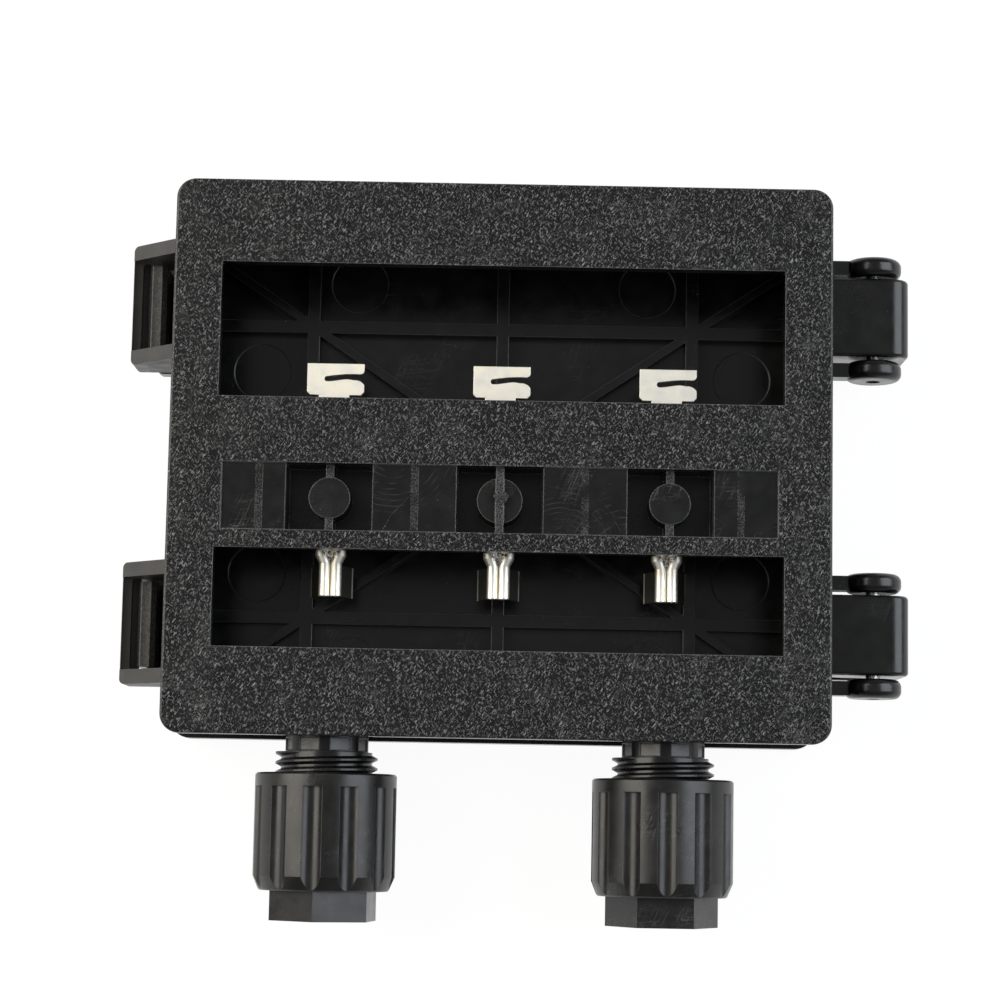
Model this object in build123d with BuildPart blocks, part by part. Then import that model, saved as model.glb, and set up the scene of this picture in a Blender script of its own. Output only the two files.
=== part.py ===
from build123d import *
import os

# Junction box for a solar panel. The box hangs under the panel: its flange is bonded to
# the panel's back at Z = 0, and everything else lies below that face, down to the lid.
# Y runs away from the cable glands, X runs from the latches to the hinges. Millimetres.

# flange and box
flange_w = 102.0
flange_h = 86.0
flange_t = 2.5
corner_r = 3.0
wall_w = 98.0
wall_h = 82.6
wall_t = 2.0
rim_depth = 20.8

# windows over the ribbon clips and over the conductor crimps
window_w = 87.2
top_window = (8.85, 29.9)
bottom_window = (-29.7, -14.55)

# bridge between the windows, with a pocket and a screw boss for each terminal
pitch = 26.2
strip_w = 85.4
strip_y = (-11.7, -1.35)
strip_recess = 0.5
pocket_w = 13.3
pocket_wall = 1.4
pocket_depth = 8.0
pad_depth = 9.6
bridge_y = (-12.9, 8.0)
bridge_wall = 1.2
barrier_xs = (-37.0, -13.1, 13.1, 37.0)
boss_y = -6.5
boss_r = 3.2
middle_boss_r = 3.5
boss_depth = 2.0
rib_w = 1.25
rib_depth = 2.2
middle_rib_depth = 1.2
pilot_r = 1.3

# cable glands
gland_xs = (-pitch, pitch)
gland_depth = 12.3
neck_r = 6.45
neck_end = 45.2
thread_root_r = 7.1
spigot_end = 55.0
wall_bore_r = 4.4
spigot_bore_r = 5.6

# latches and hinges, one of each near both ends
side_pitch = 50.2
latch_shift = -0.8
hinge_shift = -0.5
latch_x = (-58.5, -57.2)
latch_half = 9.45
latch_inner_half = 7.2
latch_bottom = 15.5
catch_x = -56.25
tongue_x = (-55.95, -53.35)
tongue_half = 6.65
tongue_tip = 9.5
tongue_root_y = (-8.5, 9.5)
pin_x = 58.8
pin_depth = 12.0
pin_r = 1.1
knuckle_r = 4.45
knuckle_y = (6.7, 9.75)
strap_half = 6.25
strap_top = 8.2
strap_x = (51.8, 64.2)
strap_t = 2.6

# lid and gasket
lid_x = (-51.6, 50.6)
lid_h = 86.2
lid_face = 22.2
lid_bottom = 25.0
skirt_top = 19.5
skirt_inner = (49.5, 41.8)
lid_rib_top = 19.9
lid_rib_w = 2.0
lid_cross = (30.6, 23.6)
brace_angle = 34.0

# stamped terminals
sheet_t = 0.7
head_top = 15.8
head_half = 4.49
head_h = 5.0
crimp_y = (-21.05, -13.35)
roll_x = 0.89
roll_r = 0.88
flare_x = 1.3
flare_r = 1.12
roll_depth = 8.95
tang_w = 3.2
wing_y = (-21.0, -16.2)

# bypass diodes and their clips
diode_y = 1.2
diode_depth = 13.3
diode_r = 2.65
diode_len = 9.2
lead_r = 0.6
clip_out = 9.7
clip_len = 3.0
clip_t = 0.5

# gland nut and what it clamps
nut_start = 48.5
nut_shoulder = 66.5
nut_end = 71.1
nut_r = 11.0
nut_bore_r = 8.15
nut_exit_r = 3.9
cone_start = 60.6
cone_end = 65.5
cone_r = 5.5
flute_count = 12
nut_turns = (7.0, 29.0)
hex_flats = 15.15

sides = (-1, 1)
latch_ys = [side * side_pitch / 2 + latch_shift for side in sides]
hinge_ys = [side * side_pitch / 2 + hinge_shift for side in sides]
sheet_z = -pad_depth - sheet_t


def mid(pair):
    """Centre of a (low, high) pair."""
    return (pair[0] + pair[1]) / 2


def span(pair):
    """Length of a (low, high) pair."""
    return pair[1] - pair[0]


def side_plane(y):
    """A plane facing -Y through the given y, with X to the right and Z up."""
    return Plane.XZ.offset(-y)


def save(part, name):
    """Label a finished piece and write it."""
    part.label = name
    export_step(part, f"parts/{name}.step")


os.makedirs("parts", exist_ok=True)


# ---------------------------------------------------------------- base housing
# One latch loop, centred on y = 0: two cheeks and an outer wall with a catch.
with BuildPart() as latch_loop:
    with BuildSketch(Plane.XY.offset(-latch_bottom)):
        with BuildLine():
            Polyline(
                (-wall_w / 2, -latch_half),
                (latch_x[0], -latch_half),
                (latch_x[0], latch_half),
                (-wall_w / 2, latch_half),
                close=True,
            )
        make_face()
        with Locations(((latch_x[1] - wall_w / 2) / 2, 0)):
            Rectangle(-latch_x[1] - wall_w / 2, 2 * latch_inner_half, mode=Mode.SUBTRACT)
    extrude(amount=latch_bottom - 1.0)
    upright = latch_loop.edges().filter_by(Axis.Z).group_by(Axis.X)
    fillet(upright[0] + upright[1], 0.8)
    # near faces slope away from the flange
    with BuildSketch(side_plane(12)):
        with BuildLine():
            Polyline((-50.7, -1.6), (-60, -10.2), (-60, 2), (-50.7, 2), close=True)
        make_face()
    extrude(amount=24, mode=Mode.SUBTRACT)
    # room for the flange's edge
    with BuildSketch(side_plane(12)):
        with Locations((-(flange_w + wall_w) / 4, -flange_t / 2)):
            Rectangle((flange_w - wall_w) / 2, flange_t)
    extrude(amount=24, mode=Mode.SUBTRACT)
    # the outer wall stands a little lower than the cheeks and slopes inwards
    with BuildSketch(side_plane(latch_inner_half)):
        with BuildLine():
            Polyline((-60, -9.2), (latch_x[0], -9.2), (latch_x[1] + 1, -11.3), (-55, -4), close=True)
        make_face()
    extrude(amount=2 * latch_inner_half, mode=Mode.SUBTRACT)
    # catch on the wall's inner side, a wedge that the tongue's barb hooks over
    with BuildSketch(side_plane(latch_inner_half)):
        with BuildLine():
            Polyline(
                (latch_x[1] - 0.4, -11.0),
                (catch_x, -12.6),
                (catch_x, -14.8),
                (latch_x[1] - 0.4, -15.4),
                close=True,
            )
        make_face()
    extrude(amount=2 * latch_inner_half)

# One pair of hinge ears, centred on y = 0.
with BuildPart() as hinge_ears:
    with BuildSketch(side_plane(knuckle_y[1])):
        with Locations((pin_x, -pin_depth)):
            Circle(knuckle_r)
    extrude(amount=span(knuckle_y))
    with BuildSketch(side_plane(-knuckle_y[0])):
        with Locations((pin_x, -pin_depth)):
            Circle(knuckle_r)
    extrude(amount=span(knuckle_y))
    fillet(hinge_ears.edges().filter_by(GeomType.CIRCLE), 1.2)
    for top in (knuckle_y[1] - 0.4, -knuckle_y[0] - 0.4):
        with BuildSketch(side_plane(top)):
            with Locations(((wall_w / 2 + pin_x) / 2, -pin_depth)):
                Rectangle(pin_x - wall_w / 2, 3.6)
        extrude(amount=span(knuckle_y) - 0.8)
    with BuildSketch(side_plane(12)):
        with Locations((pin_x, -pin_depth)):
            Circle(pin_r + 0.02)
    extrude(amount=24, mode=Mode.SUBTRACT)

# The housing is one moulding. It is kept as several solids that meet face to face.
with BuildPart() as flange:
    with BuildSketch(Plane.XY.offset(-flange_t)):
        RectangleRounded(flange_w, flange_h, corner_r)
    extrude(amount=flange_t)
    fillet(flange.faces().sort_by(Axis.Z)[-1].edges(), 0.4)
    # windows, and the pockets' mouths in the strip between them
    with BuildSketch(Plane.XY):
        for window in (top_window, bottom_window):
            with Locations((0, mid(window))):
                Rectangle(window_w, span(window))
        with Locations(*[(x, mid(strip_y)) for x in (-pitch, 0, pitch)]):
            Rectangle(pocket_w, span(strip_y))
    extrude(amount=-flange_t, mode=Mode.SUBTRACT)
    # smooth recessed strip
    with BuildSketch(Plane.XY):
        with Locations((0, mid(strip_y))):
            Rectangle(strip_w, span(strip_y))
    extrude(amount=-strip_recess, mode=Mode.SUBTRACT)
save(flange.part, "flange")

with BuildPart() as side_walls:
    with BuildSketch(Plane.XY.offset(-rim_depth)):
        RectangleRounded(wall_w, wall_h, corner_r)
        RectangleRounded(wall_w - 2 * wall_t, wall_h - 2 * wall_t, 1.2, mode=Mode.SUBTRACT)
    extrude(amount=rim_depth - flange_t)
    with BuildSketch(side_plane(-wall_h / 2 + wall_t + 0.5)):
        with Locations(*[(x, -gland_depth) for x in gland_xs]):
            Circle(wall_bore_r)
    extrude(amount=wall_t + 1, mode=Mode.SUBTRACT)
save(side_walls.part, "side_walls")

# bridge: two long walls and barriers between the terminals, with room for the pockets
with BuildPart() as bridge:
    with BuildSketch(Plane.XY.offset(-pad_depth)):
        for y in (bridge_y[0] + bridge_wall / 2, bridge_y[1] - bridge_wall / 2):
            with Locations((0, y)):
                Rectangle(wall_w - 2 * wall_t, bridge_wall)
        for x in barrier_xs:
            with Locations((x, mid(bridge_y))):
                Rectangle(1.4, span(bridge_y) - bridge_wall)
        with Locations(*[(x, mid(strip_y)) for x in (-pitch, 0, pitch)]):
            Rectangle(pocket_w + 2 * pocket_wall, span(strip_y) + 2 * bridge_wall, mode=Mode.SUBTRACT)
    extrude(amount=pad_depth - flange_t)
save(bridge.part, "bridge")

# a pocket for each terminal, with a screw boss on its pad and a thin rib that braces the boss
for x, name in ((-pitch, "left"), (0, "middle"), (pitch, "right")):
    with BuildPart() as pocket:
        with BuildSketch(Plane.XY.offset(-pad_depth)):
            with Locations((x, mid(strip_y))):
                Rectangle(pocket_w + 2 * pocket_wall, span(strip_y) + 2 * bridge_wall)
        extrude(amount=pad_depth - flange_t)
        with BuildSketch(Plane.XY.offset(-flange_t)):
            with Locations((x, mid(strip_y))):
                Rectangle(pocket_w, span(strip_y))
        extrude(amount=flange_t - pocket_depth, mode=Mode.SUBTRACT)
        with BuildSketch(Plane.XY.offset(-pocket_depth)):
            with Locations((x, boss_y)):
                Circle(middle_boss_r if x == 0 else boss_r)
        extrude(amount=pocket_depth - boss_depth)
        with BuildSketch(Plane.XY.offset(-pocket_depth)):
            with Locations((x, mid(strip_y))):
                Rectangle(rib_w, span(strip_y))
        extrude(amount=pocket_depth - (middle_rib_depth if x == 0 else rib_depth))
        with BuildSketch(Plane.XY.offset(-pad_depth)):
            with Locations((x, boss_y)):
                Circle(pilot_r)
        extrude(amount=6.2, mode=Mode.SUBTRACT)
    save(pocket.part, f"pocket_{name}")

# gland spigots, each with shallow panels round its neck
for gland_x, name in zip(gland_xs, ("left", "right")):
    with BuildPart() as spigot:
        with BuildSketch(side_plane(-wall_h / 2)):
            with Locations((gland_x, -gland_depth)):
                Circle(neck_r)
        extrude(amount=neck_end - wall_h / 2)
        with BuildSketch(side_plane(-neck_end)):
            with Locations((gland_x, -gland_depth)):
                Circle(thread_root_r)
        extrude(amount=spigot_end - neck_end)
        with BuildSketch(side_plane(-flange_h / 2 - 0.1)):
            with Locations((gland_x, -gland_depth)):
                with PolarLocations(neck_r + 0.6, 8, start_angle=22.5):
                    Rectangle(2.0, 3.2)
        extrude(amount=neck_end - flange_h / 2 - 0.3, mode=Mode.SUBTRACT)
        with BuildSketch(side_plane(-wall_h / 2)):
            with Locations((gland_x, -gland_depth)):
                Circle(wall_bore_r)
        extrude(amount=20, mode=Mode.SUBTRACT)
        with BuildSketch(side_plane(-spigot_end)):
            with Locations((gland_x, -gland_depth)):
                Circle(spigot_bore_r)
        extrude(amount=-6.5, mode=Mode.SUBTRACT)
    save(spigot.part, f"gland_spigot_{name}")

# latch loops and hinge ears, one pair near each end
for latch_y, hinge_y, name in zip(latch_ys, hinge_ys, ("lower", "upper")):
    save(Pos(0, latch_y, 0) * latch_loop.part, f"latch_loop_{name}")
    save(Pos(0, hinge_y, 0) * hinge_ears.part, f"hinge_ears_{name}")


# ------------------------------------------------------------------------ lid
# One hinge strap, centred on y = 0: up the outside, round the pin, and back towards the box.
with BuildPart() as hinge_strap:
    with BuildSketch(side_plane(strap_half)):
        with BuildLine():
            Line((strap_x[0], -strap_top), (strap_x[1] - 2.9, -strap_top))
            RadiusArc((strap_x[1] - 2.9, -strap_top), (strap_x[1], -strap_top - 2.9), 2.9)
            Line((strap_x[1], -strap_top - 2.9), (strap_x[1], -lid_bottom + 2))
            RadiusArc((strap_x[1], -lid_bottom + 2), (strap_x[1] - 2, -lid_bottom), 2)
            Polyline(
                (strap_x[1] - 2, -lid_bottom),
                (49.6, -lid_bottom),
                (49.6, -lid_face),
                (strap_x[1] - strap_t, -lid_face),
                (strap_x[1] - strap_t, -16.4),
                (54.6, -16.4),
                (strap_x[0], -14.4),
                (strap_x[0], -strap_top),
            )
        make_face()
        with Locations((pin_x, -pin_depth)):
            Circle(pin_r + 0.06, mode=Mode.SUBTRACT)
    extrude(amount=2 * strap_half)
    flanks = hinge_strap.edges().filter_by(lambda edge: abs(edge.center().Y) > strap_half - 0.01)
    outline = flanks.filter_by(lambda edge: edge.center().X > 63 or edge.center().Z > -strap_top - 0.1)
    fillet(outline, 0.6)

with BuildPart() as lid:
    with BuildSketch(Plane.XY.offset(-lid_bottom)):
        with Locations((mid(lid_x), 0)):
            RectangleRounded(span(lid_x), lid_h, corner_r)
    extrude(amount=lid_bottom - lid_face)
    fillet(lid.faces().sort_by(Axis.Z)[0].edges(), 0.8)
    # skirt outside the base's walls
    with BuildSketch(Plane.XY.offset(-lid_face)):
        with Locations((mid(lid_x), 0)):
            RectangleRounded(span(lid_x), lid_h, corner_r)
        RectangleRounded(2 * skirt_inner[0], 2 * skirt_inner[1], corner_r, mode=Mode.SUBTRACT)
    extrude(amount=lid_face - skirt_top)
    # round ejector marks
    with BuildSketch(Plane.XY.offset(-lid_face)):
        marks = [(x, y) for x in (-38.9, 38.9) for y in (-16.4, 16.4)]
        marks += [(x, y) for x in (-23.4, 23.4) for y in (-31.1, 31.1)]
        with Locations(*marks):
            Circle(4.6)
    extrude(amount=-0.15, mode=Mode.SUBTRACT)
    # snap tongues that stand up inside the latch loops
    for latch_y in latch_ys:
        with BuildSketch(Plane.XY.offset(-lid_bottom)):
            with Locations((tongue_x[0] + 2, latch_y + mid(tongue_root_y))):
                RectangleRounded(4.4, span(tongue_root_y), 1.0)
            with Locations((lid_x[0] - 0.5, latch_y + mid(tongue_root_y))):
                Rectangle(2.6, span(tongue_root_y))
        extrude(amount=lid_bottom - lid_face)
        with BuildSketch(side_plane(latch_y + tongue_half)):
            with BuildLine():
                Polyline(
                    (tongue_x[0], -lid_face - 0.5),
                    (tongue_x[0], -tongue_tip - 0.4),
                    (tongue_x[0] + 0.4, -tongue_tip),
                    (tongue_x[1] - 0.7, -tongue_tip),
                    (tongue_x[1], -tongue_tip - 1.0),
                    (tongue_x[1], -lid_face + 1.0),
                    (tongue_x[1] + 1.0, -lid_face),
                    (tongue_x[1] + 1.0, -lid_face - 0.5),
                    close=True,
                )
            make_face()
        extrude(amount=2 * tongue_half)
        # barb over the catch of the loop
        with BuildSketch(side_plane(latch_y + 3)):
            with BuildLine():
                Polyline(
                    (tongue_x[0] + 0.2, -9.9),
                    (catch_x + 0.08, -10.4),
                    (catch_x + 0.08, -11.2),
                    (tongue_x[0] + 0.2, -11.5),
                    close=True,
                )
            make_face()
        extrude(amount=6)
    # hinge straps
    for hinge_y in hinge_ys:
        with Locations((0, hinge_y, 0)):
            add(hinge_strap.part)
save(lid.part, "lid")

# stiffening ribs on the lid's inner face: a grid, and braces through its crossings
with BuildPart() as lid_ribs:
    with BuildSketch(Plane.XY.offset(-lid_face)):
        with Locations((-0.5, 0)):
            Rectangle(91.6, 77.0)
        with BuildSketch(Plane.XY.offset(-lid_face), mode=Mode.INTERSECT):
            for x in (-lid_cross[0], 0, lid_cross[0]):
                with Locations((x, 0)):
                    Rectangle(lid_rib_w, 90)
            for y in (-lid_cross[1], lid_cross[1]):
                with Locations((0, y)):
                    Rectangle(100, lid_rib_w)
            for side_x in sides:
                for side_y_sign in sides:
                    at = (side_x * lid_cross[0], side_y_sign * lid_cross[1])
                    with Locations(Location((at[0], at[1], 0), side_x * side_y_sign * brace_angle)):
                        Rectangle(68, 1.3)
    extrude(amount=lid_face - lid_rib_top)
save(lid_ribs.part, "lid_ribs")


# ----------------------------------------------------------- gasket and pins
with BuildPart() as lid_gasket:
    with BuildSketch(Plane.XY.offset(-lid_face)):
        RectangleRounded(wall_w, wall_h, corner_r)
        RectangleRounded(wall_w - 2 * wall_t, wall_h - 2 * wall_t, 1.2, mode=Mode.SUBTRACT)
    extrude(amount=lid_face - rim_depth)
save(lid_gasket.part, "lid_gasket")

for hinge_y, name in zip(hinge_ys, ("lower", "upper")):
    with BuildPart() as hinge_pin:
        pin_half = knuckle_y[1] - 0.6
        with BuildSketch(side_plane(hinge_y + pin_half)):
            with Locations((pin_x, -pin_depth)):
                Circle(pin_r)
        extrude(amount=2 * pin_half)
        chamfer(hinge_pin.edges().filter_by(GeomType.CIRCLE), 0.2)
    save(hinge_pin.part, f"hinge_pin_{name}")


# ----------------------------------------------------------------- terminals
def build_terminal(x):
    """One stamped and rolled terminal on the axis at the given x."""
    plane = Plane((x, 0, sheet_z))
    with BuildPart() as terminal:
        # flat sheet: carrier, slotted ribbon head and crimp tang
        with BuildSketch(plane):
            with Locations((0, -1.4)):
                Rectangle(11.0, 19.8)
            with Locations((-0.2, 9.6)):
                Rectangle(4.8, 3.6)
            with Locations((0, mid((crimp_y[0], -11)))):
                Rectangle(tang_w, -11 - crimp_y[0])
            with BuildLine():
                head_y = head_top - head_h
                Polyline(
                    (-head_half + 0.5, head_y),
                    (head_half - 0.5, head_y),
                    (head_half, head_y + 0.5),
                    (head_half, head_top),
                    (-head_half, head_top),
                    (-head_half, head_y + 0.5),
                    close=True,
                )
            make_face()
            # tapering slot, pinched near its mouth and flared at the end
            with BuildLine():
                Spline((-1.4, 13.78), (0.2, 14.0), (1.9, 14.15), (3.7, 14.15))
                Spline((3.7, 14.15), (4.25, 14.3), (head_half, 14.75))
                Line((head_half, 14.75), (head_half + 0.5, 14.75))
                Line((head_half + 0.5, 14.75), (head_half + 0.5, 12.45))
                Line((head_half + 0.5, 12.45), (head_half, 12.45))
                Spline((head_half, 12.45), (3.9, 13.0), (2.8, 13.2))
                Spline((2.8, 13.2), (1.9, 13.33), (0.8, 13.23), (-1.4, 12.97))
                ThreePointArc((-1.4, 12.97), (-1.8, 13.37), (-1.4, 13.78))
            make_face(mode=Mode.SUBTRACT)
            with Locations((0, boss_y)):
                Circle(1.6, mode=Mode.SUBTRACT)
        extrude(amount=sheet_t)
        # two rolls side by side, flared into a funnel at the plate's end
        for side in sides:
            for y_from, y_to, offset_from, offset_to, r_from, r_to in (
                (crimp_y[0], -16.0, roll_x, roll_x, roll_r, roll_r),
                (-16.0, -14.8, roll_x, flare_x, roll_r, flare_r),
                (-14.8, crimp_y[1], flare_x, flare_x, flare_r, flare_r),
            ):
                with BuildSketch(side_plane(y_from)):
                    with Locations((x + side * offset_from, -roll_depth)):
                        Circle(r_from)
                with BuildSketch(side_plane(y_to)):
                    with Locations((x + side * offset_to, -roll_depth)):
                        Circle(r_to)
                loft()
        # web that joins the two rolls at the funnel
        with BuildSketch(side_plane(crimp_y[1])):
            with Locations((x, -roll_depth)):
                Rectangle(2 * flare_x, 1.5 * flare_r)
        with BuildSketch(side_plane(-16.0)):
            with Locations((x, -roll_depth)):
                Rectangle(2 * roll_x, 0.5 * roll_r)
        loft()
        for side in sides:
            with BuildSketch(side_plane(crimp_y[1] + 0.01)):
                with Locations((x + side * roll_x, -roll_depth)):
                    Circle(0.42)
            extrude(amount=span(crimp_y) + 0.02, mode=Mode.SUBTRACT)
        # wings bent away from the tang on both sides
        for side in sides:
            with BuildSketch(side_plane(wing_y[1])):
                with BuildLine():
                    Polyline(
                        (x + side * (tang_w / 2 - 0.2), sheet_z + sheet_t),
                        (x + side * (tang_w / 2 + 0.02), sheet_z + sheet_t),
                        (x + side * 3.3, -13.6),
                        (x + side * 2.9, -13.75),
                        (x + side * (tang_w / 2 - 0.2), sheet_z + 0.05),
                        close=True,
                    )
                make_face()
            extrude(amount=span(wing_y))
    return terminal.part


for x, name in ((-pitch, "terminal_left"), (0, "terminal_middle"), (pitch, "terminal_right")):
    save(build_terminal(x), name)

with BuildPart() as terminal_screws:
    screw_spots = [(x, boss_y) for x in (-pitch, 0, pitch)]
    with BuildSketch(Plane.XY.offset(sheet_z)):
        with Locations(*screw_spots):
            Circle(2.5)
    extrude(amount=-1.5)
    fillet(terminal_screws.faces().sort_by(Axis.Z)[0].edges(), 0.4)
    fillet(terminal_screws.edges().group_by(Axis.Z)[0], 0.4)
    with BuildSketch(Plane.XY.offset(sheet_z)):
        with Locations(*screw_spots):
            Circle(pilot_r - 0.05)
    extrude(amount=5.6)
    with BuildSketch(Plane.XY.offset(sheet_z - 1.5)):
        with Locations(*screw_spots):
            Rectangle(2.6, 0.6)
            Rectangle(0.6, 2.6)
    extrude(amount=0.8, mode=Mode.SUBTRACT)
save(terminal_screws.part, "terminal_screws")


# --------------------------------------------------------------------- diodes
for side, name in ((-1, "left"), (1, "right")):
    centre = side * pitch / 2
    yz = Plane((centre, diode_y, -diode_depth), x_dir=(0, 1, 0), z_dir=(1, 0, 0))
    with BuildPart() as diode:
        with BuildSketch(yz.offset(-diode_len / 2)):
            Circle(diode_r)
        extrude(amount=diode_len)
        fillet(diode.edges().filter_by(GeomType.CIRCLE), 0.5)
    save(diode.part, f"diode_{name}")

    with BuildPart() as diode_leads:
        for end in sides:
            with BuildSketch(yz.offset(end * diode_len / 2)):
                Circle(lead_r)
            extrude(amount=end * (11.6 - diode_len / 2))
    save(diode_leads.part, f"diode_leads_{name}")

    # spring clips on the terminals, one for each end of the diode
    with BuildPart() as lead_clips:
        for end in sides:
            with BuildSketch(yz.offset(end * clip_out - clip_len / 2)):
                with Locations((0, sheet_z + diode_depth - clip_t / 2)):
                    Rectangle(4.4, clip_t)
                for arm in sides:
                    with BuildLine():
                        Polyline(
                            (arm * (lead_r + 0.05), sheet_z + diode_depth),
                            (arm * (lead_r + 0.05), -0.6),
                            (arm * (lead_r + 0.45), -1.5),
                            (arm * (lead_r + 0.85), -1.4),
                            (arm * (lead_r + 0.45), -0.5),
                            (arm * (lead_r + 0.45), sheet_z + diode_depth),
                            close=True,
                        )
                    make_face()
            extrude(amount=clip_len)
    save(lead_clips.part, f"lead_clips_{name}")


# --------------------------------------------------------------------- glands
for gland_x, turn, name in zip(gland_xs, nut_turns, ("left", "right")):
    flat = Plane((gland_x, 0, -gland_depth))
    gland_axis = Axis((gland_x, 0, -gland_depth), (0, 1, 0))
    with BuildPart() as gland_nut:
        with BuildSketch(flat):
            with BuildLine():
                Polyline(
                    (nut_bore_r + 0.5, -nut_start),
                    (nut_r - 0.3, -nut_start),
                    (nut_r, -nut_start - 0.3),
                    (nut_r, -nut_shoulder + 2.2),
                    (nut_r - 0.85, -nut_shoulder + 0.2),
                    (nut_r - 1.05, -nut_shoulder),
                    (nut_exit_r, -nut_shoulder),
                    (nut_exit_r, -cone_end),
                    (cone_r, -cone_end),
                    (nut_bore_r, -cone_start),
                    (nut_bore_r, -nut_start - 0.5),
                    close=True,
                )
            make_face()
        revolve(axis=gland_axis)
        # flutes round the grip
        with BuildSketch(side_plane(-nut_start - 2.1)):
            with Locations((gland_x, -gland_depth)):
                with PolarLocations(nut_r + 1.05, flute_count, start_angle=90 + turn):
                    Circle(1.9)
        extrude(amount=nut_shoulder - nut_start, mode=Mode.SUBTRACT)
        # hexagon end with the cable's way out
        with BuildSketch(side_plane(-nut_shoulder)):
            with Locations((gland_x, -gland_depth)):
                RegularPolygon(hex_flats / 2, 6, major_radius=False, rotation=90 + turn)
                Circle(nut_exit_r, mode=Mode.SUBTRACT)
        extrude(amount=nut_end - nut_shoulder)
    save(gland_nut.part, f"gland_nut_{name}")

    # clamping claws: a collar and twelve fingers that the nut's cone closes
    with BuildPart() as gland_claws:
        with BuildSketch(flat):
            with BuildLine():
                Polyline(
                    (4.6, -58.2),
                    (7.6, -58.2),
                    (7.6, -59.4),
                    (7.0, -59.9),
                    (5.4, -64.4),
                    (4.6, -64.4),
                    close=True,
                )
            make_face()
        revolve(axis=gland_axis)
        with BuildSketch(side_plane(-60.2)):
            with Locations((gland_x, -gland_depth)):
                with PolarLocations(6.2, 12):
                    Rectangle(4.0, 0.5)
        extrude(amount=5, mode=Mode.SUBTRACT)
    save(gland_claws.part, f"gland_claws_{name}")

    # rubber seal inside the claws
    with BuildPart() as gland_seal:
        with BuildSketch(flat):
            with BuildLine():
                Polyline(
                    (3.3, -56.9),
                    (5.2, -56.9),
                    (5.2, -57.9),
                    (4.5, -57.9),
                    (4.5, -64.2),
                    (3.3, -64.2),
                    close=True,
                )
            make_face()
        revolve(axis=gland_axis)
    save(gland_seal.part, f"gland_seal_{name}")
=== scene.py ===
import math
import random

import bpy
from mathutils import Matrix, Vector


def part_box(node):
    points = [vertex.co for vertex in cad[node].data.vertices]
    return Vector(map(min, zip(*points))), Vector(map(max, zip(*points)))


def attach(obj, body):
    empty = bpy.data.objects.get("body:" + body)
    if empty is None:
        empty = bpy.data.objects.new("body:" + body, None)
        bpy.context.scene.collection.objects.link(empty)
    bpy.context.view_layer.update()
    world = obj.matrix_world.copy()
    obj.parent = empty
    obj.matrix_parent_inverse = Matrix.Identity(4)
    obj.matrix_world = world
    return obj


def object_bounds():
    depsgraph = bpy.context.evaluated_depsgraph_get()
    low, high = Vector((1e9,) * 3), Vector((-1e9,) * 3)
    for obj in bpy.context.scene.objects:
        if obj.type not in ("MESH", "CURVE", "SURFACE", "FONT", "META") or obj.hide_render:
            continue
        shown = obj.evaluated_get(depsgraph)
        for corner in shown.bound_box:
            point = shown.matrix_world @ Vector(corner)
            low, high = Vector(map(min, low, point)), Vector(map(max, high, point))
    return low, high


# Black junction box lying on its lid, seen from the side that is bonded to the panel. Metres throughout.
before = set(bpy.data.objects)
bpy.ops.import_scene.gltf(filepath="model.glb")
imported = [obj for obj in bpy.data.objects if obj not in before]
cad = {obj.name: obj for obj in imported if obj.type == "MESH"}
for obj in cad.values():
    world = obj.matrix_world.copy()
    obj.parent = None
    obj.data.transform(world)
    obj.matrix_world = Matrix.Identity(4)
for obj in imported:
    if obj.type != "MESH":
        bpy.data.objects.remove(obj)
cadLow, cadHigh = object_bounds()
mm = 0.001
print("frame:", len(cad), "pieces")


# small node helpers, so that each finish below reads in a few lines
def addNode(tree, kind, values=None, **settings):
    node = tree.nodes.new(kind)
    for key, value in settings.items():
        setattr(node, key, value)
    for key, value in (values or {}).items():
        if isinstance(value, bpy.types.NodeSocket):
            tree.links.new(value, node.inputs[key])
        else:
            node.inputs[key].default_value = value
    return node


def calc(tree, operation, a, b=0.0):
    return addNode(tree, "ShaderNodeMath", {0: a, 1: b}, operation=operation).outputs[0]


def product(tree, first, *others):
    for other in others:
        first = calc(tree, "MULTIPLY", first, other)
    return first


def vectorCalc(tree, operation, a, b):
    return addNode(tree, "ShaderNodeVectorMath", {0: a, 1: b}, operation=operation).outputs


def axes(tree, where):
    return addNode(tree, "ShaderNodeSeparateXYZ", {0: where}).outputs


def remap(tree, value, low, high, toLow=0.0, toHigh=1.0):
    values = {0: value, 1: low, 2: high, 3: toLow, 4: toHigh}
    return addNode(tree, "ShaderNodeMapRange", values).outputs[0]


def mixColour(tree, factor, a, b):
    return addNode(tree, "ShaderNodeMix", {0: factor, 6: a, 7: b}, data_type="RGBA").outputs[2]


def noise(tree, where, scale, detail=2.0, roughness=0.5, distortion=0.0):
    values = {"Vector": where, "Scale": scale, "Detail": detail, "Roughness": roughness}
    values["Distortion"] = distortion
    return addNode(tree, "ShaderNodeTexNoise", values).outputs[0]


# the piece's own coordinates in millimetres, so that grain sizes are real sizes and ride with the piece
def inMillimetres(tree, stretch=(1, 1, 1), turn=0.0):
    where = addNode(tree, "ShaderNodeTexCoord").outputs["Object"]
    if turn:
        values = {"Vector": where, "Angle": turn}
        where = addNode(tree, "ShaderNodeVectorRotate", values, rotation_type="Z_AXIS").outputs[0]
    values = {"Vector": where, "Scale": tuple(s / mm for s in stretch)}
    return addNode(tree, "ShaderNodeMapping", values).outputs[0]


# 1 where a value lies within half of a centre, fading out over soft
def nearTo(tree, value, centre, half, soft=0.05):
    away = calc(tree, "ABSOLUTE", calc(tree, "SUBTRACT", value, centre))
    return remap(tree, away, half, half + soft, 1.0, 0.0)


def grey(level, warm=0.0):
    return (level * (1 + warm), level, level * (1 - warm), 1)


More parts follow.
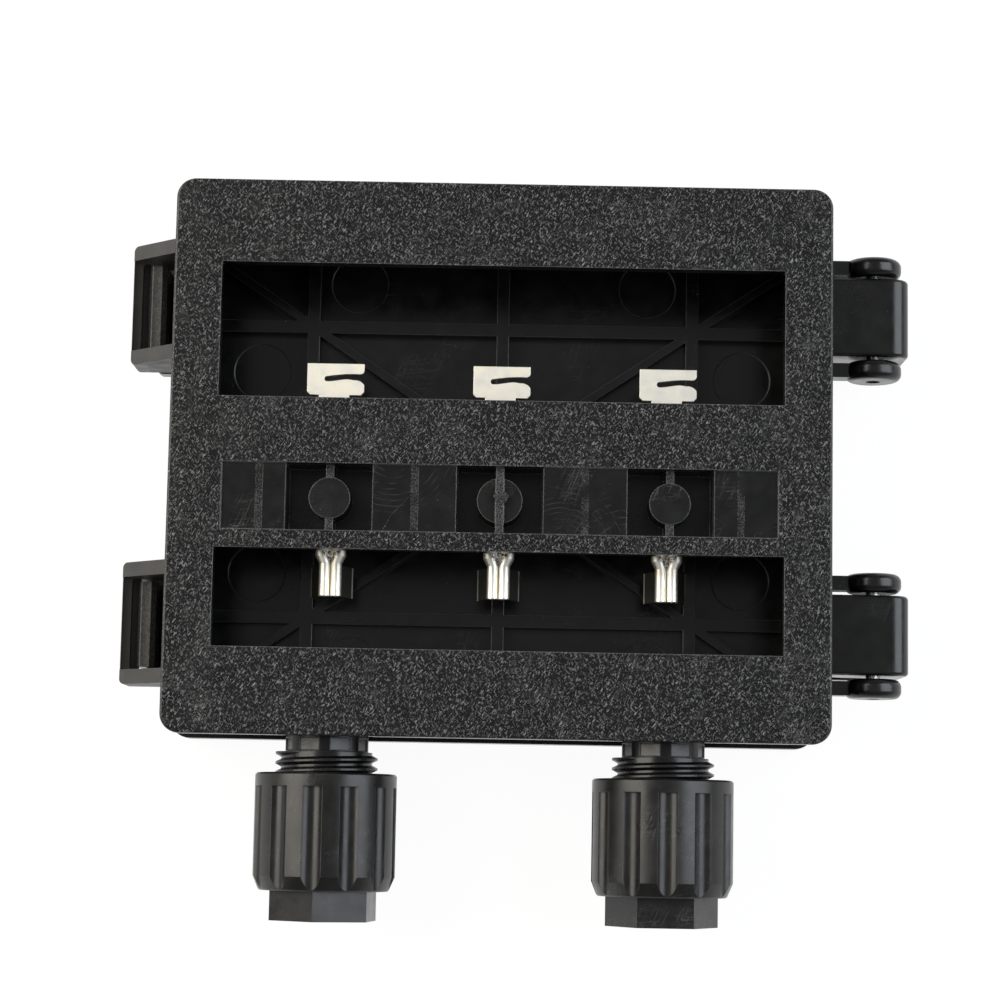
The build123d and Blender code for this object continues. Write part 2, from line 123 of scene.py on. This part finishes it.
# fine crossing scratches: thin bands where a stretched noise passes its middle value
def scratches(tree, look):
    masks = []
    for turn, along in look["scratchWays"]:
        wander = noise(tree, inMillimetres(tree, (1, along, 1), turn), look["scratchScale"])
        lines = calc(tree, "ABSOLUTE", calc(tree, "SUBTRACT", wander, 0.5))
        thin = remap(tree, lines, 0.0, look["scratchWidth"], 1.0, 0.0)
        spread = noise(tree, inMillimetres(tree), look["scratchSpread"], 1.0)
        masks.append(product(tree, thin, remap(tree, spread, *look["scratchPatch"])))
    return calc(tree, "MAXIMUM", masks[0], masks[1])


# 1 along sharp edges and 0 on flats, from how far a rounded normal leans from the true one; it places the
# painted highlight along edges
edgeLean = (0.995, 0.80)


def edgeMask(tree, rounded):
    true = addNode(tree, "ShaderNodeNewGeometry").outputs["Normal"]
    return remap(tree, vectorCalc(tree, "DOT_PRODUCT", rounded, true)["Value"], *edgeLean)


def finishMaterial(tree, shader):
    out = addNode(tree, "ShaderNodeOutputMaterial", {"Surface": shader.outputs[0]})
    for i, node in enumerate(tree.nodes):
        node.location = (-1400 + 220 * (i % 8), 300 - 240 * (i // 8))
    out.location = (420, 300)


def newTree(name):
    material = bpy.data.materials.new(name)
    material.use_nodes = True
    material.node_tree.nodes.clear()
    return material, material.node_tree


# short strokes of the leather grain, only on the face that is bonded: raised a little, and painted lighter on
# their crests as a painted highlight
def leatherStrokes(tree, where, grain):
    both = []
    for turn, share in ((grain["lean"], 1.0), (grain["lean"] + grain["cross"], grain["crossShare"])):
        along = inMillimetres(tree, (grain["across"], grain["along"], 1), turn)
        wander = noise(tree, along, 1.0, 1.0, 0.5, grain["twist"])
        stroke = remap(tree, wander, grain["from"], grain["from"] + grain["soft"])
        both.append(product(tree, stroke, share))
    strokes = calc(tree, "MAXIMUM", both[0], both[1])
    spread = noise(tree, where, grain["patchScale"], 2.0)
    patches = remap(tree, spread, *grain["patchRange"], grain["patchLow"], 1.0)
    onTop = remap(tree, axes(tree, where)["Z"], *grain["depthRange"])
    return product(tree, strokes, patches, onTop)


# a round flat of the given radius is kept clear about each boss
def offBosses(tree, where, marks):
    clear = 1.0
    for x in marks["bosses"]:
        off = vectorCalc(tree, "SUBTRACT", where, (x, marks["bossY"], 0))[0]
        flat = vectorCalc(tree, "MULTIPLY", off, (1, 1, 0))[0]
        away = addNode(tree, "ShaderNodeVectorMath", {0: flat}, operation="LENGTH").outputs["Value"]
        clear = product(tree, remap(tree, away, marks["bossRadius"], marks["bossRadius"] + 0.05), clear)
    return clear


# stippled bands at given x
def stippledBands(tree, where, marks):
    dots = noise(tree, where, marks["dotScale"], 1.0)
    dots = remap(tree, dots, *marks["dotRange"], marks["dotLow"], 1.0)
    x = axes(tree, where)["X"]
    bands = 0.0
    for centre in marks["bandXs"]:
        bands = calc(tree, "MAXIMUM", bands, nearTo(tree, x, centre, marks["bandHalf"]))
    fade = noise(tree, where, marks["fadeScale"], 1.0)
    fade = remap(tree, fade, *marks["fadeRange"], marks["bandLow"], 1.0)
    return product(tree, dots, bands, offBosses(tree, where, marks), fade)


# faint arcs of cutter marks, broken up here and there
def cutterArcs(tree, where, marks):
    arcs = 0.0
    for centre, spacing in marks["arcs"]:
        away = vectorCalc(tree, "DISTANCE", where, centre)["Value"]
        reach = remap(tree, away, marks["arcReach"] - marks["arcFade"], marks["arcReach"], 1.0, 0.0)
        wobble = product(tree, noise(tree, where, marks["wobbleScale"], 1.0), marks["wobble"])
        wave = calc(tree, "ADD", product(tree, away, 2 * math.pi / spacing), wobble)
        crests = remap(tree, calc(tree, "SINE", wave), marks["arcCrest"], 1.0)
        arcs = calc(tree, "MAXIMUM", arcs, product(tree, crests, reach))
    broken = remap(tree, noise(tree, where, marks["breakScale"], 2.0), *marks["breakRange"])
    return product(tree, arcs, broken, marks["arcShow"])


# what the mould left on a smooth face, at one depth only
def mouldMarks(tree, where, marks):
    level = nearTo(tree, axes(tree, where)["Z"], marks["level"], marks["levelHalf"])
    stipple = product(tree, stippledBands(tree, where, marks), level)
    return stipple, product(tree, cutterArcs(tree, where, marks), level)


# painted light: lighter across a range of x, between two depths, with a speckle, on a sloped face that the
# lamps leave too dark
def paintedLightZone(tree, where, zone):
    place = axes(tree, where)
    across = remap(tree, place["X"], zone["fromX"], zone["toX"])
    ended = remap(tree, place["X"], zone["endX"], zone["endX"] + 0.05, 1.0, 0.0)
    depth = nearTo(tree, place["Z"], zone["z"], zone["half"])
    speckle = remap(tree, noise(tree, where, 3.4, 2.0), 0.36, 0.62, zone["low"], 1.0)
    return product(tree, across, ended, depth, speckle)


# what both kinds of material start from: a place in millimetres, and a normal rounded at the edges
def startMaterial(name, look):
    material, tree = newTree(name)
    where = inMillimetres(tree)
    rounded = addNode(tree, "ShaderNodeBevel", {"Radius": look["edgeRadius"] * mm}, samples=4).outputs[0]
    return material, tree, where, rounded


def surface(tree, colour, rough, height, rounded, **settings):
    values = {"Strength": 1.0, "Distance": mm, "Height": height, "Normal": rounded}
    bump = addNode(tree, "ShaderNodeBump", values).outputs[0]
    values = dict(settings, **{"Base Color": colour, "Roughness": rough, "Normal": bump})
    finishMaterial(tree, addNode(tree, "ShaderNodeBsdfPrincipled", values))


# moulded plastic: mottled gloss, fine orange peel, scratches, a painted highlight along the edges, and a
# leather grain whose crests carry a painted highlight
def mouldedPlastic(name, look):
    material, tree, where, rounded = startMaterial(name, look)
    edges = edgeMask(tree, rounded)
    mottle = noise(tree, where, look["mottleScale"], 3.0)
    peel = noise(tree, where, look["peelScale"], 3.0, 0.6)
    scratched = scratches(tree, look)
    specks = noise(tree, where, look["dustScale"], 1.0)
    dust = remap(tree, specks, look["dustFrom"], look["dustFrom"] + look["dustSoft"])
    colour = mixColour(tree, remap(tree, mottle, *look["mottleRange"]), look["colour"], look["patch"])
    # scratches are real wear; the edges take the same lighter colour as a painted highlight; dust is real
    for mask, show, over in (
        (scratched, look["scratchShow"], look["rubbedAndHighlight"]),
        (edges, look["edgeShow"], look["rubbedAndHighlight"]),
        (dust, look["dustShow"], look["dust"]),
    ):
        colour = mixColour(tree, product(tree, mask, show), colour, over)
    rough = remap(tree, mottle, *look["roughRange"], *look["rough"])
    height = product(tree, peel, look["peelDepth"])
    height = calc(tree, "SUBTRACT", height, product(tree, scratched, look["scratchDepth"]))
    raised = []
    # painted light: a lighter patch where the lamps leave a sloped face too dark
    if "zone" in look:
        zone = look["zone"]
        raised.append((paintedLightZone(tree, where, zone), 1.0, zone["colour"], zone["depth"]))
    # the grain's crests are raised as a bump and painted lighter, a painted highlight
    if "grain" in look:
        grain = look["grain"]
        raised.append((leatherStrokes(tree, where, grain), grain["show"], grain["crestHighlight"], grain["depth"]))
    if "marks" in look:
        marks = look["marks"]
        stipple, arcs = mouldMarks(tree, where, marks)
        raised.append((stipple, 1.0, marks["stipple"], marks["stippleDepth"]))
        raised.append((arcs, 1.0, marks["arcColour"], 0.0))
    for mask, show, over, depth in raised:
        colour = mixColour(tree, product(tree, mask, show), colour, over)
        height = calc(tree, "ADD", height, product(tree, mask, depth))
    surface(tree, colour, rough, height, rounded, **{"IOR": 1.5, "Specular IOR Level": look["gloss"]})
    return material


# brown speckled flux left in the V where the two rolls of a crimp part, at each terminal's x
def fluxStain(tree, where, flux):
    place = axes(tree, where)
    above = calc(tree, "SUBTRACT", place["Y"], flux["tipY"])
    slope = product(tree, above, flux["spread"])
    v = 0.0
    for x in flux["xs"]:
        off = calc(tree, "ABSOLUTE", calc(tree, "SUBTRACT", place["X"], x))
        inside = remap(tree, calc(tree, "SUBTRACT", slope, off), -flux["soft"], flux["soft"])
        v = calc(tree, "MAXIMUM", v, inside)
    speckle = remap(tree, noise(tree, where, flux["speckle"], 2.0), 0.40, 0.60, flux["low"], 1.0)
    inFunnel = remap(tree, place["Y"], flux["topY"], flux["topY"] + 0.1, 1.0, 0.0)
    return product(tree, v, speckle, inFunnel)


# painted shade: the bent wings beside each crimp get a dark colour for the dark walls they reflect, all but
# their outer edges
def shadedWings(tree, where, wings):
    place = axes(tree, where)
    below = remap(tree, place["Z"], wings["topZ"], wings["topZ"] - wings["soft"])
    near = nearTo(tree, place["Y"], wings["y"], wings["half"])
    inside = 0.0
    for x in wings["xs"]:
        inside = calc(tree, "MAXIMUM", inside, nearTo(tree, place["X"], x, wings["reach"], 0.03))
    return product(tree, below, near, inside)


# bright tinned or plated metal with drawn lines and dull blotches; terminals get flux and painted shade on
# their wings, other metal a painted highlight along its edges
def platedMetal(name, look):
    material, tree, where, rounded = startMaterial(name, look)
    blotch = noise(tree, where, look["blotchScale"], 3.0, 0.55)
    drawn = noise(tree, inMillimetres(tree, look["drawnStretch"]), look["drawnScale"], 3.0, 0.6)
    colour = mixColour(tree, remap(tree, blotch, *look["blotchRange"]), look["colour"], look["stain"])
    if "flux" in look:
        stain = fluxStain(tree, where, look["flux"])
        colour = mixColour(tree, stain, colour, look["flux"]["colour"])
        # painted shade on the wings beside each crimp
        colour = mixColour(tree, shadedWings(tree, where, look["wings"]), colour, look["wings"]["colour"])
    else:
        # painted highlight along the edges
        colour = mixColour(tree, edgeMask(tree, rounded), colour, look["edge"])
    rough = remap(tree, blotch, *look["roughRange"], *look["rough"])
    height = product(tree, drawn, look["drawnDepth"])
    surface(tree, colour, rough, height, rounded, Metallic=1.0)
    return material


def plasticLook(**changes):
    look = {
        "colour": grey(0.0040, -0.04),
        "patch": grey(0.0062, -0.04),
        "rubbedAndHighlight": grey(0.085, -0.02),
        "dust": grey(0.35, 0.02),
        "rough": (0.34, 0.46),
        "gloss": 0.42,
        "edgeRadius": 0.14,
        "edgeShow": 0.75,
        "mottleScale": 0.35,
        "mottleRange": (0.35, 0.65),
        "roughRange": (0.3, 0.7),
        "peelScale": 4.0,
        "peelDepth": 0.004,
        "scratchScale": 1.6,
        # how each set of scratches is turned, in radians, and how far it's drawn out
        "scratchWays": ((0.4, 0.06), (1.5, 0.09)),
        "scratchSpread": 0.12,
        "scratchPatch": (0.52, 0.66),
        "scratchWidth": 0.012,
        "scratchShow": 0.25,
        "scratchDepth": 0.004,
        "dustScale": 2.6,
        "dustFrom": 0.80,
        "dustSoft": 0.03,
        "dustShow": 0.3,
    }
    look.update(changes)
    return look


grainLook = {
    "across": 4.6,
    "along": 1.6,
    "lean": 0.56,
    "cross": 1.9,
    "crossShare": 0.6,
    "twist": 0.8,
    "from": 0.60,
    "soft": 0.08,
    "patchScale": 0.45,
    "patchRange": (0.38, 0.58),
    "patchLow": 0.45,
    # it fades in between these two depths, and so stays off the rim's sides
    "depthRange": (-0.3, -0.1),
    "depth": 0.07,
    "show": 0.9,
    # painted highlight colour of the grain's crests
    "crestHighlight": grey(0.22, -0.01),
}
stripMarks = {
    "level": -0.5,
    "levelHalf": 0.06,
    "bandXs": (-37.0, -13.1, 13.1, 37.0),
    "bandHalf": 0.48,
    "bandLow": 0.15,
    "dotScale": 4.2,
    "dotRange": (0.46, 0.62),
    "dotLow": 0.12,
    "fadeScale": 0.25,
    "fadeRange": (0.35, 0.6),
    "stipple": grey(0.035, -0.01),
    "stippleDepth": 0.05,
    "bosses": (),
    "arcs": (((-16.5, 1.2, -0.5), 0.9), ((9.5, -14.0, -0.5), 0.8), ((19.5, -15.5, -0.5), 1.1)),
    "arcReach": 10.5,
    "arcFade": 1.5,
    "arcCrest": 0.72,
    "wobble": 2.4,
    "wobbleScale": 0.5,
    "breakScale": 0.45,
    "breakRange": (0.46, 0.62),
    "arcShow": 0.26,
    "arcColour": grey(0.085, -0.02),
}
ribMarks = dict(stripMarks, level=-1.7, levelHalf=0.56, bandXs=(-26.2, 0.0, 26.2), bandLow=0.8, arcs=())
ribMarks.update(stipple=grey(0.07, -0.01), bosses=(-26.2, 26.2), bossY=-6.5, bossRadius=3.3)
# rims are rounded wider and take a lighter colour, for scratches and for the painted highlight along their
# edges
rim = {"edgeRadius": 0.24, "rubbedAndHighlight": grey(0.26, -0.01)}
flangeLook = plasticLook(grain=grainLook, marks=stripMarks, dustShow=0.5, edgeShow=0.6, **rim)
flangeLook.update(rough=(0.20, 0.29), gloss=0.38)
flangePlastic = mouldedPlastic("flangeGrained", flangeLook)
housingPlastic = mouldedPlastic("housingSmooth", plasticLook(rough=(0.20, 0.30), edgeRadius=0.2))
innerPlastic = mouldedPlastic("bridgeSmooth", plasticLook())
pocketLook = plasticLook(marks=ribMarks, patch=grey(0.0075, -0.05), rough=(0.24, 0.34), gloss=0.38, **rim)
pocketPlastic = mouldedPlastic("pocketSmooth", pocketLook)
# the latch loop's black plastic is given a lighter colour, painted light for the light its sloped walls miss
latchLook = plasticLook(colour=grey(0.033, 0.05), patch=grey(0.044, 0.05), rough=(0.42, 0.55), edgeRadius=0.2)
latchLook.update(peelDepth=0.014, peelScale=3.2)
# painted light on the latch loop's sloped wall
latchLook["zone"] = {"fromX": -58.4, "toX": -57.2, "endX": -56.1, "z": -12.2, "half": 2.9, "low": 0.7}
latchLook["zone"].update(colour=grey(0.15, 0.05), depth=0.02)
latchPlastic = mouldedPlastic("latchMattPaintedLight", latchLook)
# the lid's edges take a lighter colour, a painted highlight along them
lidLook = plasticLook(rough=(0.17, 0.27), scratchShow=0.08, edgeShow=0.5, **dict(rim, rubbedAndHighlight=grey(0.15)))
# painted light on the lid's latch tongue
lidLook["zone"] = {"fromX": -56.2, "toX": -53.7, "endX": -53.0, "z": -12.0, "half": 3.0, "low": 0.45}
lidLook["zone"].update(colour=grey(0.13, 0.04), depth=0.02)
lidPlastic = mouldedPlastic("lidSatin", lidLook)
nutLook = plasticLook(
    colour=grey(0.005, 0.03), patch=grey(0.009, 0.05), rough=(0.26, 0.36), scratchShow=0.7, edgeShow=0.6
)
nutPlastic = mouldedPlastic("nutSatin", nutLook)
clawPlastic = mouldedPlastic("clawPlastic", plasticLook(colour=grey(0.03), patch=grey(0.04)))
sealRubber = mouldedPlastic("sealRubber", plasticLook(rough=(0.6, 0.75), gloss=0.3, peelDepth=0.008))
epoxy = mouldedPlastic("diodeEpoxy", plasticLook(rough=(0.2, 0.3), gloss=0.5))

tinLook = {
    "colour": (0.97, 0.95, 0.87, 1),
    "stain": (0.90, 0.85, 0.73, 1),
    # painted highlight colour along the edges
    "edge": (0.97, 0.96, 0.93, 1),
    "rough": (0.42, 0.54),
    "edgeRadius": 0.10,
    "blotchScale": 0.55,
    "blotchRange": (0.4, 0.72),
    "roughRange": (0.35, 0.7),
    "drawnScale": 3.0,
    "drawnStretch": (1, 0.12, 1),
    "drawnDepth": 0.006,
}
flux = {
    "xs": (-26.2, 0.0, 26.2),
    "tipY": -16.0,
    "topY": -13.0,
    "spread": 0.85,
    "soft": 0.25,
    "speckle": 3.4,
    "low": 0.25,
    "colour": (0.10, 0.065, 0.045, 1),
}
# painted shade on the wings beside each crimp, standing in for the dark walls they reflect
wings = {
    "xs": flux["xs"],
    "y": -18.6,
    "half": 2.5,
    "reach": 3.12,
    "topZ": -9.75,
    "soft": 0.15,
    "colour": (0.11, 0.105, 0.09, 1),
}
tin = platedMetal("terminalTin", dict(tinLook, flux=flux, wings=wings))
steelLook = dict(tinLook, colour=(0.56, 0.56, 0.57, 1), stain=(0.40, 0.39, 0.37, 1), rough=(0.25, 0.4))
steel = platedMetal("platedSteel", steelLook)
wire = platedMetal("tinnedWire", dict(tinLook, drawnStretch=(0.1, 1, 1)))

finishes = {
    "flange": flangePlastic,
    "side_walls": housingPlastic,
    "bridge": innerPlastic,
    "pocket": pocketPlastic,
    "latch_loop": latchPlastic,
    "hinge_ears": housingPlastic,
    "gland_spigot": housingPlastic,
    "lid_gasket": sealRubber,
    "lid": lidPlastic,
    "hinge_pin": steel,
    "terminal_screws": steel,
    "terminal": tin,
    "diode_leads": wire,
    "diode": epoxy,
    "lead_clips": steel,
    "gland_nut": nutPlastic,
    "gland_claws": clawPlastic,
    "gland_seal": sealRubber,
}
for name, piece in cad.items():
    kind = max((k for k in finishes if name.startswith(k)), key=len)
    piece.data.materials.clear()
    piece.data.materials.append(finishes[kind])
print("finishes on", len(cad), "pieces")


def meshPiece(name, vertices, faces, material, body):
    mesh = bpy.data.meshes.new(name)
    mesh.from_pydata(vertices, [], faces)
    mesh.validate()
    mesh.update()
    mesh.materials.append(material)
    piece = bpy.data.objects.new(name, mesh)
    bpy.context.scene.collection.objects.link(piece)
    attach(piece, body)


# right-hand thread on each gland spigot, a ridge wound round its root and run out at both ends
thread = {
    "rootR": 7.06,
    "crestR": 7.97,
    "pitch": 1.5,
    "rootHalf": 0.66,
    "crestHalf": 0.16,
    "shoulder": 45.22,
    "start": 45.20,
    "end": 54.1,
    "runOut": 0.12,
    "least": 0.02,
    "sunk": 0.1,
    "stepsPerTurn": 72,
}


def glandThread(name, axisX, axisZ, startTurn):
    turns = (thread["end"] - thread["start"]) / thread["pitch"]
    count = int(turns * thread["stepsPerTurn"])
    vertices, faces = [], []
    for i in range(count + 1):
        done = i / thread["stepsPerTurn"]
        grow = min(1.0, done / thread["runOut"], (turns - done) / thread["runOut"])
        grow = max(grow, thread["least"])
        crestR = thread["rootR"] + (thread["crestR"] - thread["rootR"]) * grow
        angle = 2 * math.pi * (done + startTurn)
        along = thread["start"] + done * thread["pitch"]
        profile = (
            (thread["rootR"] - thread["sunk"], -thread["rootHalf"]),
            (crestR, -thread["crestHalf"]),
            (crestR, thread["crestHalf"]),
            (thread["rootR"] - thread["sunk"], thread["rootHalf"]),
        )
        for r, offset in profile:
            x = axisX / mm + r * math.cos(angle)
            z = axisZ / mm + r * math.sin(angle)
            vertices.append((x * mm, -max(along + offset, thread["shoulder"]) * mm, z * mm))
    for i in range(count):
        a, b = 4 * i, 4 * i + 4
        for j in range(4):
            k = (j + 1) % 4
            faces.append((a + j, a + k, b + k, b + j))
    faces += [(3, 2, 1, 0), tuple(4 * count + j for j in range(4))]
    meshPiece(name, vertices, faces, housingPlastic, "base")


for side, startTurn in (("left", 0.335), ("right", 0.355)):
    low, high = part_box("gland_spigot_" + side)
    glandThread("gland_thread_" + side, (low.x + high.x) / 2, (low.z + high.z) / 2, startTurn)
print("gland threads cut")


# torn gate mark on the middle boss, where the plastic was fed in
gate = {
    "x": 0.2,
    "y": -6.1,
    "face": -1.25,
    "top": 0.22,
    "sunk": 0.04,
    "radius": 1.15,
    # how many lobes the torn edge has, and how far each lot leans out
    "lobes": ((3, 0.10), (7, 0.05)),
    "height": 0.30,
    "rings": 7,
    "steps": 40,
    "seed": 4,
}


def gateScar():
    chance = random.Random(gate["seed"])
    vertices, faces = [(gate["x"] * mm, gate["y"] * mm, (gate["face"] + gate["top"]) * mm)], []
    for ring in range(1, gate["rings"] + 1):
        share = ring / gate["rings"]
        for step in range(gate["steps"]):
            angle = 2 * math.pi * step / gate["steps"]
            edge = gate["radius"] * (1 + sum(out * math.sin(many * angle) for many, out in gate["lobes"]))
            lift = gate["height"] * (1 - share**3) * chance.uniform(0.35, 1.0)
            x = gate["x"] + share * edge * math.cos(angle)
            y = gate["y"] + share * edge * math.sin(angle)
            z = gate["face"] - gate["sunk"] + (0.0 if ring == gate["rings"] else lift)
            vertices.append((x * mm, y * mm, z * mm))
    for step in range(gate["steps"]):
        after = (step + 1) % gate["steps"]
        faces.append((0, 1 + step, 1 + after))
        for ring in range(gate["rings"] - 1):
            a, b = 1 + ring * gate["steps"], 1 + (ring + 1) * gate["steps"]
            faces.append((a + step, b + step, b + after, a + after))
    outer = 1 + (gate["rings"] - 1) * gate["steps"]
    faces.append(tuple(outer + step for step in reversed(range(gate["steps"]))))
    meshPiece("gate_scar", vertices, faces, innerPlastic, "base")


gateScar()
print("gate scar on the middle boss")


# low lumpy ridges on the sunken strip, where the mould's parts met or something dragged over it
ridges = {
    "weld_lines": {
        "routes": [((x, -11.6), (x, -1.45)) for x in (-36.4, -12.5)],
        "width": 0.14,
        "height": 0.06,
    },
    "drag_marks": {
        "routes": [((-17.9, -11.6), (-16.6, -9.2), (-13.9, -6.3))],
        "width": 0.12,
        "height": 0.05,
    },
    "scuffs": {
        "routes": [
            ((17.6, -9.3), (18.2, -10.4), (18.8, -11.2)),
            ((10.2, -4.8), (9.5, -6.1)),
            ((10.6, -5.3), (9.9, -6.6)),
        ],
        "width": 0.10,
        "height": 0.04,
    },
}
ridgeBuild = {"z": -0.5, "sunk": 0.03, "seed": 11, "step": 0.22, "tip": 0.2, "swell": (0.55, 1.0)}


def ridgePiece(name, ridge):
    chance = random.Random(ridgeBuild["seed"])
    sunk = Vector((0, 0, -ridgeBuild["sunk"]))
    vertices, faces = [], []
    for route in ridge["routes"]:
        points = [Vector((x, y, ridgeBuild["z"])) for x, y in route]
        spine = []
        for a, b in zip(points, points[1:]):
            count = max(2, round((b - a).length / ridgeBuild["step"]))
            spine += [a.lerp(b, i / count) for i in range(count + (b == points[-1]))]
        first = len(vertices)
        for i, place in enumerate(spine):
            ahead = spine[min(i + 1, len(spine) - 1)] - spine[max(i - 1, 0)]
            across = Vector((-ahead.y, ahead.x, 0)).normalized() * ridge["width"] / 2
            atEnd = i in (0, len(spine) - 1)
            swell = chance.uniform(*ridgeBuild["swell"]) * (ridgeBuild["tip"] if atEnd else 1.0)
            up = Vector((0, 0, ridge["height"] * swell))
            for corner in (place - across * swell + sunk, place + up, place + across * swell + sunk):
                vertices.append(corner * mm)
        for i in range(first, len(vertices) - 3, 3):
            faces += [(i, i + 1, i + 4, i + 3), (i + 1, i + 2, i + 5, i + 4), (i + 2, i, i + 3, i + 5)]
        faces += [(first + 2, first + 1, first), tuple(len(vertices) - k for k in (3, 2, 1))]
    meshPiece(name, vertices, faces, ridgePlastic, "base")


ridgePlastic = mouldedPlastic("ridgeRubbed", plasticLook(colour=grey(0.10), patch=grey(0.16), dustShow=0.0))
for name, ridge in ridges.items():
    ridgePiece(name, ridge)
print("mould marks drawn")


# pale floor that stays white to the camera and keeps a faint shadow, and a plain white surrounding
studio = {
    "floorSize": 3.0,
    # a hair under the lid, so that the two faces don't coincide
    "floorDrop": 0.0001,
    "floorWhite": 0.80,
    "floorGlow": 1.05,
    "shadowShare": 0.10,
    # how bright the surround is, from the horizon (0) up to straight overhead (1)
    "surround": ((0.0, 0.60), (0.16, 0.42), (0.34, 0.20), (0.80, 0.18), (0.93, 0.34), (1.0, 0.32)),
    "keyPower": 5.4,
    "keySize": 0.56,
    "keyAt": (-0.50, 0.16, 0.42),
    "fillPower": 3.4,
    "fillSize": 0.50,
    "fillAt": (0.50, 0.10, 0.38),
}


def backdropRays(tree):
    path = addNode(tree, "ShaderNodeLightPath")
    seen = calc(tree, "MAXIMUM", path.outputs["Is Camera Ray"], path.outputs["Is Glossy Ray"])
    return calc(tree, "MAXIMUM", seen, path.outputs["Is Transmission Ray"])


def makeStudio():
    scene = bpy.context.scene
    half = studio["floorSize"] / 2
    z = cadLow.z - studio["floorDrop"]
    mesh = bpy.data.meshes.new("floor")
    corners = [(-half, -half, z), (half, -half, z), (half, half, z), (-half, half, z)]
    mesh.from_pydata(corners, [], [(0, 1, 2, 3)])
    floor = bpy.data.objects.new("floor", mesh)
    scene.collection.objects.link(floor)
    material, tree = newTree("floorPaper")
    paper = addNode(tree, "ShaderNodeBsdfDiffuse", {"Color": grey(studio["floorWhite"])})
    white = addNode(tree, "ShaderNodeEmission", {"Color": grey(1.0), "Strength": studio["floorGlow"]})
    share = calc(tree, "MULTIPLY", backdropRays(tree), 1 - studio["shadowShare"])
    mixed = addNode(tree, "ShaderNodeMixShader", {0: share, 1: paper.outputs[0], 2: white.outputs[0]})
    finishMaterial(tree, mixed)
    mesh.materials.append(material)
    world = bpy.data.worlds.new("studio")
    scene.world = world
    world.use_nodes = True
    tree = world.node_tree
    tree.nodes.clear()
    up = addNode(tree, "ShaderNodeTexCoord").outputs["Generated"]
    ramp = addNode(tree, "ShaderNodeValToRGB", {"Fac": axes(tree, up)["Z"]})
    stops = ramp.color_ramp.elements
    while len(stops) < len(studio["surround"]):
        stops.new(0.5)
    for stop, (place, level) in zip(stops, studio["surround"]):
        stop.position = place
        stop.color = grey(level)
    light = addNode(tree, "ShaderNodeBackground", {"Color": ramp.outputs["Color"], "Strength": 1.0})
    addNode(tree, "ShaderNodeOutputWorld", {"Surface": light.outputs[0]})
    for name, tint in (("key", (1.0, 0.95, 0.86)), ("fill", (0.88, 0.93, 1.0))):
        lamp = bpy.data.lights.new(name, "AREA")
        lamp.size = studio[name + "Size"]
        lamp.energy = studio[name + "Power"]
        lamp.color = tint
        holder = bpy.data.objects.new(name, lamp)
        holder.location = studio[name + "At"]
        holder.rotation_mode = "QUATERNION"
        holder.rotation_quaternion = (-Vector(studio[name + "At"])).to_track_quat("-Z", "Y")
        scene.collection.objects.link(holder)
    scene.view_settings.view_transform = "Standard"


makeStudio()
print("studio lit")

# camera straight over the box, leaning a little towards the glands
view = {"lens": 94.30, "sensor": 36.0, "at": (0.402, -56.623, 398.149), "lean": (7.150, 0.0395, 1.069)}
lens = bpy.data.cameras.new("camera")
lens.lens = view["lens"]
lens.sensor_width = view["sensor"]
lens.clip_start, lens.clip_end = 0.01, 20.0
camera = bpy.data.objects.new("camera", lens)
turns = [Matrix.Rotation(math.radians(a), 4, axis) for a, axis in zip(view["lean"], "XYZ")]
camera.matrix_world = Matrix.Translation(Vector(view["at"]) * mm) @ turns[0] @ turns[1] @ turns[2]
bpy.context.scene.collection.objects.link(camera)
bpy.context.scene.camera = camera
print("camera set")
